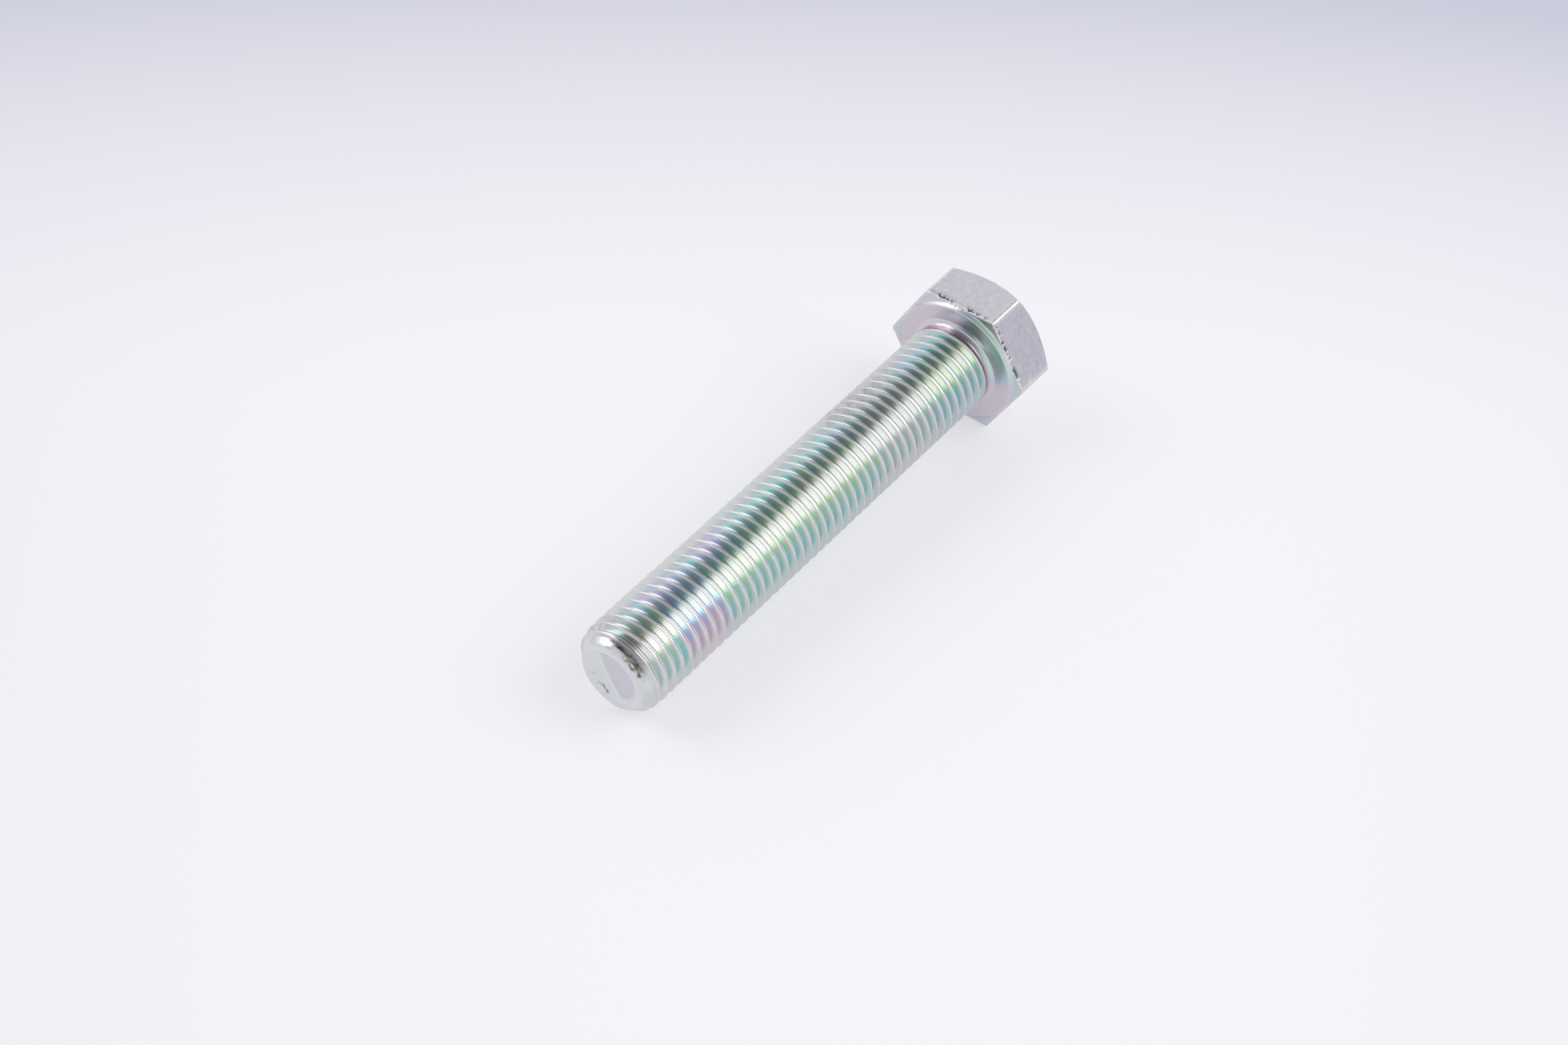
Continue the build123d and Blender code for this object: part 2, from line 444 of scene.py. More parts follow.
add_faces(shank_quads, shank_quad_turn, shank_quad_run)
add_faces(dish_quads, dish_quad_turn, dish_quad_run)
add_faces(head_quads, head_quad_turn, head_quad_run)
bolt_mesh = bpy.data.meshes.new("hex_bolt_plated")
bolt_points = np.concatenate([shank_points, dish_points, head_points, seat_points])
bolt_mesh.from_pydata(bolt_points, [], [face for sheet in sheets for face in sheet[0].tolist()])
corner_map = np.stack([
    np.concatenate([sheet[1].ravel() for sheet in sheets]),
    np.concatenate([sheet[2].ravel() for sheet in sheets]) / RUN_SCALE,
], -1)
wrap = bolt_mesh.uv_layers.new(name="turn_and_run")
wrap.uv.foreach_set("vector", corner_map.astype(np.float32).ravel())
bolt = bpy.data.objects.new("hex_bolt_plated", bolt_mesh)
bpy.context.scene.collection.objects.link(bolt)

# Shading normals: each corner takes the mean of its vertex's faces, weighed by area squared, so that
# the wide flanks and flats shade flat and only the narrow edges between them turn.
corner_count = len(bolt_mesh.loops)
corner_vertex = np.empty(corner_count, np.int32)
bolt_mesh.loops.foreach_get("vertex_index", corner_vertex)
face_total = np.empty(len(bolt_mesh.polygons), np.int32)
face_area = np.empty(len(bolt_mesh.polygons), np.float32)
face_normal = np.empty((len(bolt_mesh.polygons), 3), np.float32)
bolt_mesh.polygons.foreach_get("loop_total", face_total)
bolt_mesh.polygons.foreach_get("area", face_area)
bolt_mesh.polygons.foreach_get("normal", face_normal.ravel())
weighed = np.repeat(face_normal * (face_area[:, None] / face_area.mean()) ** 2, face_total, axis=0)
vertex_normal = np.stack(
    [np.bincount(corner_vertex, weighed[:, axis], len(bolt_points)) for axis in range(3)], -1)
vertex_normal = vertex_normal / np.linalg.norm(vertex_normal, axis=1, keepdims=True)
bolt_mesh.polygons.foreach_set("use_smooth", np.ones(len(bolt_mesh.polygons), bool))
bolt_mesh.normals_split_custom_set_from_vertices(vertex_normal.tolist())

# Where the surface is torn open, to be painted near black as shade, and where its edges are rubbed bright and
# painted with a highlight, goes with each vertex.
torn_shade = np.zeros(len(bolt_points), np.float32)
torn_shade[head_first:seat_first] = np.clip(tear * 1.2 - 0.2, 0.0, 0.9).ravel()
torn_shade[dish_first:head_first] = end_dents(ring_up, ring_side).ravel()
torn_shade_layer = bolt_mesh.attributes.new("torn_shade", "FLOAT", "POINT")
torn_shade_layer.data.foreach_set("value", torn_shade)
rubbed_and_highlight = np.zeros(len(bolt_points), np.float32)
# Rubbed edges, along the lip and round the corners: worn bright, and painted with a highlight.
lip = np.exp(-(((head_station + WASHER_STEP) / 0.4) ** 2))
lip = lip * np.exp(-((hexagon - head_rows[..., 1]) / 0.25) ** 2)
corner_wear_and_highlight = np.exp(-(((np.abs(off_flat) - np.pi / 6.0) / 0.042) ** 2)) * on_flat
rubbed_and_highlight[head_first:seat_first] = np.clip(corner_wear_and_highlight + lip, 0.0, 1.0).ravel()
rubbed_and_highlight_layer = bolt_mesh.attributes.new("rubbed_and_highlight", "FLOAT", "POINT")
rubbed_and_highlight_layer.data.foreach_set("value", rubbed_and_highlight)


def linear(hex_colour):
    """The linear colour of an sRGB hex value: each channel by the sRGB curve."""
    channels = [int(hex_colour[k:k + 2], 16) / 255.0 for k in (1, 3, 5)]
    return [c / 12.92 if c <= 0.04045 else ((c + 0.055) / 1.055) ** 2.4 for c in channels] + [1.0]


def node(tree, kind, inputs=None, **settings):
    """Adds a node, sets its settings, links or sets each input by name or number, and gives back
    its first output in use."""
    made = tree.nodes.new("ShaderNode" + kind)
    for name, value in settings.items():
        setattr(made, name, value)
    for name, value in (inputs or {}).items():
        if isinstance(value, bpy.types.NodeSocket):
            tree.links.new(value, made.inputs[name])
        else:
            made.inputs[name].default_value = value
    return next(socket for socket in made.outputs if socket.enabled)


def finish(name):
    """A new material, its tree and output, and what the zinc finishes read: object position in
    metres, turns round the axis, and run along the shank in mm."""
    material = bpy.data.materials.new(name)
    material.use_nodes = True
    tree = material.node_tree
    tree.nodes.clear()
    output = tree.nodes.new("ShaderNodeOutputMaterial")
    position = tree.nodes.new("ShaderNodeTexCoord").outputs["Object"]
    wrap_place = node(tree, "UVMap", uv_map="turn_and_run")
    turn = node(tree, "SeparateXYZ", {0: wrap_place})
    run = node(tree, "Math", {0: turn.node.outputs["Y"], 1: RUN_SCALE}, operation="MULTIPLY")
    bolt_mesh.materials.append(material)
    return tree, output, position, turn, run


def film(tree, order, greyness):
    """Colour of the passivation film: order, its thickness from 0 to 1, runs through the colours of
    a thin clear film on zinc; greyness mixes it back towards bare plate."""
    colour = node(tree, "ValToRGB", {0: order})
    ramp = colour.node.color_ramp
    stops = ((0.0, "#DEDEE0"), (0.14, "#E0E2CE"), (0.27, "#D2E5CD"), (0.4, "#C5E4D8"), (0.52, "#BEE0E2"),
             (0.64, "#C5D8EA"), (0.76, "#D5D0E6"), (0.88, "#E2D2DD"), (1.0, "#DEDADB"))
    for where, hex_colour in stops[1:-1]:
        ramp.elements.new(where).color = linear(hex_colour)
    ramp.elements[0].color = linear(stops[0][1])
    ramp.elements[-1].color = linear(stops[-1][1])
    return node(tree, "Mix", {0: greyness, 6: colour, 7: linear("#DDDEDD")}, data_type="RGBA")


def shade(tree, output, colour, roughness, normal):
    """Ends a finish in a metal surface with this colour, roughness and normal."""
    metal = {"Base Color": colour, "Metallic": 1.0, "Roughness": roughness, "Normal": normal}
    surface = node(tree, "BsdfPrincipled", metal)
    tree.links.new(surface, output.inputs["Surface"])


def furrow_dirt_and_shade(tree, position, turn, run):
    """Share of dirt with painted shade in the furrow round the nose and on the ridge beside it: full within
    two tenths of a mm of its line and gone six tenths away, only between two turns round the shank, and
    patchy at 0.5 mm."""
    line = node(tree, "Math", {0: run, 1: FURROW + 0.15}, operation="SUBTRACT")
    line = node(tree, "Math", {0: line}, operation="ABSOLUTE")
    line = node(tree, "MapRange", {"Value": line, "From Min": 0.6, "From Max": 0.2})
    begins = node(tree, "MapRange", {"Value": turn, "From Min": 0.97, "From Max": 1.01})
    ends = node(tree, "MapRange", {"Value": turn, "From Min": 1.17, "From Max": 1.12})
    window = node(tree, "Math", {0: begins, 1: ends}, operation="MULTIPLY")
    patchy = node(tree, "TexNoise", {"Vector": position, "Scale": 1800.0, "Detail": 3.0})
    patchy = node(tree, "MapRange", {"Value": patchy, "From Min": 0.38, "From Max": 0.6,
                                     "To Min": 0.6, "To Max": 0.95})
    window = node(tree, "Math", {0: window, 1: patchy}, operation="MULTIPLY")
    return node(tree, "Math", {0: line, 1: window}, operation="MULTIPLY")


# Dark brown of the furrow's dirt, which also paints shade over the furrow and its ridge.
DIRT_AND_SHADE_COLOUR = "#453C36"

# Electroplated zinc with a clear blue passivation, over flanks burnished by the rolling dies. The eye
# gets a satin metal with oil-on-water colours: they drift round and along the thread, step a little
# from one turn to the next, and leave pale bare crests where the film is thin.
tree, output, position, turn, run = finish("blue_passivated_zinc_on_rolled_thread")
phase = node(tree, "Math", {0: turn, 1: PITCH, 2: run}, operation="MULTIPLY_ADD")
phase = node(tree, "Math", {0: phase, 1: FIRST_CREST}, operation="SUBTRACT")
phase = node(tree, "Math", {0: phase, 1: PITCH}, operation="DIVIDE")
groove_number = node(tree, "Math", {0: phase}, operation="FLOOR")
height = node(tree, "Math", {0: phase}, operation="FRACT")
height = node(tree, "Math", {0: height, 1: 0.5}, operation="SUBTRACT")
height = node(tree, "Math", {0: height}, operation="ABSOLUTE")
height = node(tree, "Math", {0: height, 1: 2.0}, operation="MULTIPLY")
FILM_TURN = 35.0 / 360.0
away = node(tree, "Math", {0: turn, 1: FILM_TURN}, operation="SUBTRACT")
away = node(tree, "Math", {0: away, 1: 2.0 * math.pi}, operation="MULTIPLY")
away = node(tree, "Math", {0: away}, operation="SINE")
away = node(tree, "Math", {0: away}, operation="ABSOLUTE")
rootward = node(tree, "MapRange", {"Value": height, "From Min": 0.5, "From Max": 0.1, "To Max": 0.15})
steady = node(tree, "Math", {0: away, 1: 0.7}, operation="MINIMUM")
order = node(tree, "Math", {0: steady, 1: 0.58, 2: rootward}, operation="MULTIPLY_ADD")
# Film patches are about 14 mm across over the whole thread, and smudges 4 mm long in each groove.
patches = node(tree, "TexNoise", {"Vector": position, "Scale": 70.0, "Detail": 1.0})
order = node(tree, "Math", {0: patches, 1: 0.4, 2: order}, operation="MULTIPLY_ADD")
helix_turn = node(tree, "Math", {0: turn, 1: groove_number}, operation="SUBTRACT")
helix_path = node(tree, "Math", {0: helix_turn, 1: SHANK_TURN}, operation="MULTIPLY")
smudge_place = node(tree, "CombineXYZ", {"X": helix_path, "Y": height})
smudge_place = node(tree, "VectorMath", {0: smudge_place, 1: (0.25, 1.2, 1.0)}, operation="MULTIPLY")
smudges = node(tree, "TexNoise", {"Vector": smudge_place, "Scale": 1.0, "Detail": 4.0, "Roughness": 0.62})
order = node(tree, "Math", {0: smudges, 1: 0.5, 2: order}, operation="MULTIPLY_ADD")
order = node(tree, "Math", {0: order, 1: 0.35}, operation="SUBTRACT")
# Over three stretches of the thread, from run to run in mm, the film steps up, and leans towards or
# away from the near side.
near = node(tree, "Math", {0: turn, 1: 2.0 * math.pi}, operation="MULTIPLY")
near = node(tree, "Math", {0: near}, operation="SINE")
for begins, ends, step, lean in ((70.2, 79.6, 0.17, 0.22), (60.8, 68.2, 0.18, -0.26), (1.0, 15.0, 0.07, 0.0)):
    rises = node(tree, "MapRange", {"Value": run, "From Min": begins - 0.8, "From Max": begins + 0.8})
    falls = node(tree, "MapRange", {"Value": run, "From Min": ends + 0.8, "From Max": ends - 0.8})
    within = node(tree, "Math", {0: rises, 1: falls}, operation="MULTIPLY")
    shift = node(tree, "Math", {0: near, 1: lean, 2: step}, operation="MULTIPLY_ADD")
    order = node(tree, "Math", {0: shift, 1: within, 2: order}, operation="MULTIPLY_ADD")
order = node(tree, "Math", {0: order, 1: 0.0}, operation="MAXIMUM")
greyness = node(tree, "MapRange", {"Value": away, "From Min": 0.75, "From Max": 0.96, "To Min": 0.12,
                                   "To Max": 0.7}, interpolation_type="SMOOTHSTEP")
# Painted highlight: the film is paled towards grey in a narrow band round FILM_TURN, where the right
# softbox's highlight falls on the flanks, and opposite it; paled more strongly as run rises from 12 to 30 mm.
highlight_pale_band = node(tree, "MapRange", {"Value": away, "From Min": 0.32, "From Max": 0.12},
                 interpolation_type="SMOOTHSTEP")
highlight_paleness = node(tree, "MapRange", {"Value": run, "From Min": 12.0, "From Max": 30.0,
                                   "To Min": 0.3, "To Max": 0.72})
highlight_pale_band = node(tree, "Math", {0: highlight_pale_band, 1: highlight_paleness}, operation="MULTIPLY")
greyness = node(tree, "Math", {0: greyness, 1: highlight_pale_band}, operation="ADD")
crestward = node(tree, "MapRange", {"Value": height, "From Min": 0.5, "From Max": 0.85, "To Max": 0.75},
                 interpolation_type="SMOOTHSTEP")
greyness = node(tree, "Math", {0: greyness, 1: crestward}, operation="MAXIMUM")
worn_on = node(tree, "MapRange", {"Value": run, "From Min": 12.0, "From Max": 19.0, "To Max": 0.5})
worn_off = node(tree, "MapRange", {"Value": run, "From Min": 34.0, "From Max": 27.0})
greyness = node(tree, "Math", {0: worn_on, 1: worn_off, 2: greyness}, operation="MULTIPLY_ADD")
worn_tip = node(tree, "MapRange", {"Value": run, "From Min": 81.5, "From Max": 86.0, "To Max": 0.5})
greyness = node(tree, "Math", {0: greyness, 1: worn_tip}, operation="ADD")
mottle = node(tree, "Math", {0: smudges, 1: 1.0, 2: -0.55}, operation="MULTIPLY_ADD")
greyness = node(tree, "Math", {0: greyness, 1: mottle}, operation="ADD", use_clamp=True)
plate = film(tree, order, greyness)
dulled = node(tree, "MapRange", {"Value": run, "From Min": 75.0, "From Max": 10.0})
plate = node(tree, "Mix", {0: dulled, 6: plate, 7: linear("#F3F5F5")}, data_type="RGBA",
             blend_type="MULTIPLY")
far_pale = node(tree, "MapRange", {"Value": near, "From Min": -0.3, "From Max": -0.8, "To Max": 0.75})
plate = node(tree, "Mix", {0: far_pale, 6: plate, 7: linear("#E6E8E4")}, data_type="RGBA")
# Handling has scuffed the far side of the stretch near the head, and of the last turns by the nose,
# in marks about 1.4 mm across.
scuffs = node(tree, "TexNoise", {"Vector": position, "Scale": 700.0, "Detail": 4.0, "Roughness": 0.6})
scuffs = node(tree, "MapRange", {"Value": scuffs, "From Min": 0.36, "From Max": 0.74})
far_side = node(tree, "MapRange", {"Value": near, "From Min": 0.0, "From Max": -0.4})
worn_stretch = node(tree, "Math", {0: worn_on, 1: worn_off}, operation="MULTIPLY")
worn_stretch = node(tree, "Math", {0: worn_stretch, 1: worn_tip}, operation="ADD")
worn_stretch = node(tree, "Math", {0: worn_stretch, 1: far_side}, operation="MULTIPLY")
scuffs = node(tree, "Math", {0: scuffs, 1: worn_stretch}, operation="MULTIPLY")
plate = node(tree, "Mix", {0: scuffs, 6: plate, 7: linear("#8E8683")}, data_type="RGBA")
bare = node(tree, "MapRange", {"Value": height, "From Min": 0.78, "From Max": 0.88},
            interpolation_type="SMOOTHSTEP")
on_thread = node(tree, "MapRange", {"Value": run, "From Min": 1.5, "From Max": 1.9})
bare = node(tree, "Math", {0: bare, 1: on_thread}, operation="MULTIPLY")
plate = node(tree, "Mix", {0: bare, 6: plate, 7: linear("#E8E1E0")}, data_type="RGBA")
# Dirt and painted shade darken the furrow round the nose and the ridge beside it.
dirt_and_shade = furrow_dirt_and_shade(tree, position, turn, run)
plate = node(tree, "Mix", {0: dirt_and_shade, 6: plate, 7: linear(DIRT_AND_SHADE_COLOUR)}, data_type="RGBA")
near_neck = node(tree, "MapRange", {"Value": run, "From Min": 2.0, "From Max": 1.4},
                 interpolation_type="SMOOTHSTEP")
plate = node(tree, "Mix", {0: near_neck, 6: plate, 7: linear("#A99BA6")}, data_type="RGBA")
# Lines across the flanks are about 0.2 mm apart and 1.7 mm long.
around = node(tree, "Math", {0: turn, 1: SHANK_TURN}, operation="MULTIPLY")
line_place = node(tree, "CombineXYZ", {"X": around, "Y": run})
line_place = node(tree, "VectorMath", {0: line_place, 1: (5.0, 0.6, 1.0)}, operation="MULTIPLY")
lines = node(tree, "TexNoise", {"Vector": line_place, "Scale": 1.0, "Detail": 2.0})
relief = node(tree, "Bump", {"Height": lines, "Distance": 0.00001, "Strength": 0.7})
# Burrs on the crests are about 0.25 mm, and the plating's grain 0.15 mm, coarser than its real 0.02 mm.
burrs = node(tree, "TexNoise", {"Vector": position, "Scale": 4000.0, "Detail": 2.0})
burrs = node(tree, "Math", {0: burrs, 1: bare}, operation="MULTIPLY")
burrs = node(tree, "Math", {0: scuffs, 1: 1.5, 2: burrs}, operation="MULTIPLY_ADD")
relief = node(tree, "Bump", {"Height": burrs, "Distance": 0.00002, "Strength": 0.8, "Normal": relief})
grain = node(tree, "TexNoise", {"Vector": position, "Scale": 6500.0, "Detail": 1.0})
relief = node(tree, "Bump", {"Height": grain, "Distance": 0.000004, "Strength": 0.6, "Normal": relief})
shade(tree, output, plate, 0.24, relief)

# The same plate over flats that the trimming die sheared and drew. It looks matte lilac grey with
# drawn lines and blotches, and the flats that face the near side get painted shade; torn pits are painted
# near black inside as shade, and rubbed edges are painted creamy white, wear with a painted highlight.
tree, output, position, turn, run = finish("blue_passivated_zinc_on_trimmed_flats")
torn_shade_share = node(tree, "Attribute", attribute_name="torn_shade").node.outputs["Fac"]
rubbed_and_highlight_share = node(tree, "Attribute", attribute_name="rubbed_and_highlight").node.outputs["Fac"]
# Blotches are about 1 mm across; drawn lines are about 0.25 mm apart and 1.2 mm long.
clouds = node(tree, "TexNoise", {"Vector": position, "Scale": 1100.0, "Detail": 4.0, "Roughness": 0.7})
drawn_place = node(tree, "VectorMath", {0: position, 1: (4200.0, 800.0, 800.0)}, operation="MULTIPLY")
drawn = node(tree, "TexNoise", {"Vector": drawn_place, "Scale": 1.0, "Detail": 3.0})
tone = node(tree, "Math", {0: clouds, 1: drawn}, operation="ADD")
tone = node(tree, "MapRange", {"Value": tone, "From Min": 0.75, "From Max": 1.25})
# A lit copy and a shaded copy of the flats' plate; the shaded copy is painted shade.
lit_flat_copy = node(tree, "Mix", {0: tone, 6: linear("#E3E2E9"), 7: linear("#F8F7FC")}, data_type="RGBA")
plate_with_painted_shade = node(tree, "Mix", {0: tone, 6: linear("#B6B5BE"), 7: linear("#CCCBD4")}, data_type="RGBA")
# Painted shade: each flat has one dullness by the way it faces, darker on the flats turned towards the near
# side than on the top.
flat_facing_shade = node(tree, "Math", {0: turn, 1: 6.0}, operation="MULTIPLY")
flat_facing_shade = node(tree, "Math", {0: flat_facing_shade}, operation="ROUND")
flat_facing_shade = node(tree, "Math", {0: flat_facing_shade, 1: math.pi / 3.0}, operation="MULTIPLY")
flat_facing_shade = node(tree, "Math", {0: flat_facing_shade}, operation="SINE")
flat_facing_shade = node(tree, "MapRange", {"Value": flat_facing_shade, "From Min": 0.1, "From Max": 0.8})
plate_with_painted_shade = node(tree, "Mix", {0: flat_facing_shade, 6: lit_flat_copy, 7: plate_with_painted_shade}, data_type="RGBA")
scuffs = node(tree, "TexNoise", {"Vector": position, "Scale": 2500.0, "Detail": 2.0})
rubbed_off_and_highlight = node(tree, "Math", {0: scuffs, 1: 2.0, 2: -0.3}, operation="MULTIPLY_ADD")
rubbed_off_and_highlight = node(tree, "Math", {0: rubbed_off_and_highlight, 1: rubbed_and_highlight_share}, operation="MULTIPLY", use_clamp=True)
# Wear with a painted highlight: rubbed edges are painted creamy white.
plate_with_painted_shade = node(tree, "Mix", {0: rubbed_off_and_highlight, 6: plate_with_painted_shade, 7: linear("#F6F1E9")}, data_type="RGBA")
# Painted shade: the tears are painted near black inside.
plate_with_painted_shade = node(tree, "Mix", {0: torn_shade_share, 6: plate_with_painted_shade, 7: linear("#465068")}, data_type="RGBA")
relief = node(tree, "Bump", {"Height": drawn, "Distance": 0.00001, "Strength": 0.35})
relief = node(tree, "Bump", {"Height": clouds, "Distance": 0.00004, "Strength": 0.5, "Normal": relief})
knocks = node(tree, "Math", {0: scuffs, 1: rubbed_and_highlight_share}, operation="MULTIPLY")
relief = node(tree, "Bump", {"Height": knocks, "Distance": 0.0001, "Strength": 0.7, "Normal": relief})
rough = node(tree, "MapRange", {"Value": rubbed_and_highlight_share, "To Min": 0.42, "To Max": 0.3})
shade(tree, output, plate_with_painted_shade, rough, relief)

# The same plate on what the heading punch pressed smooth: the seat, washer face, fillet and neck, and
# the chamfer and top of the head. It gives a soft shine, grey violet on the seat, turning pink and
# brown in the neck, and plain grey on the top.
tree, output, position, turn, run = finish("blue_passivated_zinc_on_pressed_seat")
patches = node(tree, "TexNoise", {"Vector": position, "Scale": 120.0, "Detail": 1.0})
near_side = node(tree, "Math", {0: turn, 1: 1.0 + 48.0 / 360.0}, operation="SUBTRACT")
near_side = node(tree, "Math", {0: near_side}, operation="ABSOLUTE")
near_side = node(tree, "MapRange", {"Value": near_side, "From Min": 0.06, "From Max": 0.15, "To Min": 0.42,
                                    "To Max": 0.84}, interpolation_type="SMOOTHSTEP")
under_corner = node(tree, "MapRange", {"Value": run, "From Min": -5.2, "From Max": -4.7})
order = node(tree, "Math", {0: patches, 1: 0.2, 2: near_side}, operation="MULTIPLY_ADD")
order = node(tree, "Mix", {0: under_corner, 2: 0.68, 3: order}, data_type="FLOAT")
order = node(tree, "Math", {0: order, 1: 0.1}, operation="SUBTRACT", use_clamp=True)
greyness = node(tree, "MapRange", {"Value": under_corner, "To Min": 0.6, "To Max": 0.4})
# The head's top, past run -10, shows less of the film.
on_top = node(tree, "MapRange", {"Value": run, "From Min": -9.0, "From Max": -11.0, "To Max": 0.3})
greyness = node(tree, "Math", {0: greyness, 1: on_top}, operation="ADD")
plate = film(tree, order, greyness)
in_neck = node(tree, "MapRange", {"Value": run, "From Min": 0.0, "From Max": 1.1},
               interpolation_type="SMOOTHSTEP")
plate = node(tree, "Mix", {0: in_neck, 6: plate, 7: linear("#C3B0B8")}, data_type="RGBA")
# Wear with a painted highlight: rubbed edges are painted creamy white here too.
rubbed_and_highlight_share = node(tree, "Attribute", attribute_name="rubbed_and_highlight").node.outputs["Fac"]
plate = node(tree, "Mix", {0: rubbed_and_highlight_share, 6: plate, 7: linear("#EEEBE4")}, data_type="RGBA")
grain = node(tree, "TexNoise", {"Vector": position, "Scale": 3000.0, "Detail": 2.0})
relief = node(tree, "Bump", {"Height": grain, "Distance": 0.000005, "Strength": 0.5})
shade(tree, output, plate, 0.27, relief)

# The same plate on the rounded nose: glossy and nearly colourless, with brown stains where lubricant
# burnt into the dents, and dark grey to near black in the dents as painted shade.
tree, output, position, turn, run = finish("blue_passivated_zinc_on_rounded_nose")
patches = node(tree, "TexNoise", {"Vector": position, "Scale": 500.0, "Detail": 3.0})
tone = node(tree, "MapRange", {"Value": patches, "From Min": 0.35, "From Max": 0.65})
plate = node(tree, "Mix", {0: tone, 6: linear("#D7DBD8"), 7: linear("#E2E4E4")}, data_type="RGBA")
to_end = node(tree, "MapRange", {"Value": run, "From Min": 90.3, "From Max": 91.2})
plate = node(tree, "Mix", {0: to_end, 6: plate, 7: linear("#EAEBEF")}, data_type="RGBA")
signed = node(tree, "Math", {0: turn, 1: 1.0}, operation="SUBTRACT")
# Dirt and painted shade darken the furrow round the nose and the ridge beside it.
dirt_and_shade = furrow_dirt_and_shade(tree, position, turn, run)
plate = node(tree, "Mix", {0: dirt_and_shade, 6: plate, 7: linear(DIRT_AND_SHADE_COLOUR)}, data_type="RGBA")
speckle = node(tree, "TexNoise", {"Vector": position, "Scale": 1400.0, "Detail": 3.0})
# Stains in the dents, brown to near black: partly real stains, partly painted shade of the dents.
for at_run, at_turn, long, wide, stain_and_shade_colour in (
    (89.5, 0.1, 0.5, 0.04, "#8C8476"), (89.7, 0.14, 0.45, 0.03, "#6A625A"),
    (90.0, 0.083, 0.3, 0.02, "#6E6240"), (90.15, 0.115, 0.24, 0.024, "#686260"),
    (89.8, 0.15, 0.2, 0.016, "#4A4440"), (89.5, 0.105, 0.2, 0.014, "#6B5A3A"),
):
    over = node(tree, "Math", {0: run, 1: at_run}, operation="SUBTRACT")
    over = node(tree, "Math", {0: over, 1: long}, operation="DIVIDE")
    aside = node(tree, "Math", {0: signed, 1: at_turn}, operation="SUBTRACT")
    aside = node(tree, "Math", {0: aside, 1: wide}, operation="DIVIDE")
    off_centre = node(tree, "CombineXYZ", {"X": over, "Y": aside})
    off_centre = node(tree, "VectorMath", {0: off_centre}, operation="LENGTH")
    off_centre = node(tree, "Math", {0: speckle, 1: 3.0, 2: off_centre}, operation="MULTIPLY_ADD")
    stain_and_shade = node(tree, "MapRange", {"Value": off_centre, "From Min": 2.75, "From Max": 1.6, "To Max": 0.75})
    plate = node(tree, "Mix", {0: stain_and_shade, 6: plate, 7: linear(stain_and_shade_colour)}, data_type="RGBA")
rough = node(tree, "MapRange", {"Value": to_end, "To Min": 0.23, "To Max": 0.33})
relief = node(tree, "Bump", {"Height": patches, "Distance": 0.00002, "Strength": 0.5})
shade(tree, output, plate, rough, relief)

# The same plate on the sheared end: satin, pale grey with a touch of lilac in the shear's lens, with
# straight fine ridges there and a few pits painted near black as shade.
tree, output, position, turn, run = finish("blue_passivated_zinc_on_sheared_end")
torn_shade_share = node(tree, "Attribute", attribute_name="torn_shade").node.outputs["Fac"]
patches = node(tree, "TexNoise", {"Vector": position, "Scale": 300.0, "Detail": 2.0})
# Ridges are about 0.25 mm apart and 3 mm long, along the way the blade moved, inside the lens only.
ACROSS = tuple(0.55 * towards_top + 0.84 * towards_side)
ALONG = tuple(0.84 * towards_top - 0.55 * towards_side)
lens_centre = LENGTH * towards_tip + LENS_UP * towards_top + LENS_SIDE * towards_side
lens_centre = tuple(seat_centre + MM * lens_centre)
across = node(tree, "VectorMath", {0: position, 1: ACROSS}, operation="DOT_PRODUCT")
along = node(tree, "VectorMath", {0: position, 1: ALONG}, operation="DOT_PRODUCT")
ridge_place = node(tree, "CombineXYZ", {"X": across, "Y": along})
ridge_place = node(tree, "VectorMath", {0: ridge_place, 1: (4000.0, 350.0, 1.0)}, operation="MULTIPLY")
ridges = node(tree, "TexNoise", {"Vector": ridge_place, "Scale": 1.0, "Detail": 3.0, "Distortion": 0.8})
from_lens = node(tree, "VectorMath", {0: position, 1: lens_centre}, operation="DISTANCE")
in_lens = node(tree, "MapRange", {"Value": from_lens, "From Min": LENS_RADIUS * MM,
                                  "From Max": (LENS_RADIUS - 0.3) * MM})
in_dish = node(tree, "MapRange", {"Value": run, "From Min": 93.2, "From Max": 93.9})
in_lens = node(tree, "Math", {0: in_lens, 1: in_dish}, operation="MULTIPLY")
plate = node(tree, "Mix", {0: in_dish, 6: linear("#EAEBEF"), 7: linear("#E9ECEA")}, data_type="RGBA")
plate = node(tree, "Mix", {0: in_lens, 6: plate, 7: linear("#E0E0E7")}, data_type="RGBA")
streak = node(tree, "MapRange", {"Value": ridges, "From Min": 0.35, "From Max": 0.7, "To Max": 0.45})
streak = node(tree, "Math", {0: streak, 1: in_lens}, operation="MULTIPLY")
plate = node(tree, "Mix", {0: streak, 6: plate, 7: linear("#CDC9D4")}, data_type="RGBA")
ridges = node(tree, "Math", {0: ridges, 1: in_lens}, operation="MULTIPLY")
# Painted shade: pits in the dents are painted near black.
pits = node(tree, "TexNoise", {"Vector": position, "Scale": 2500.0, "Detail": 2.0})
pits = node(tree, "Math", {0: pits, 1: 3.2, 2: -1.0}, operation="MULTIPLY_ADD", use_clamp=True)
pits = node(tree, "Math", {0: pits, 1: torn_shade_share}, operation="MULTIPLY", use_clamp=True)
plate = node(tree, "Mix", {0: pits, 6: plate, 7: linear("#2E302E")}, data_type="RGBA")
relief = node(tree, "Bump", {"Height": patches, "Distance": 0.00003, "Strength": 0.5})
relief = node(tree, "Bump", {"Height": ridges, "Distance": 0.00003, "Strength": 0.7, "Normal": relief})
shade(tree, output, plate, 0.33, relief)

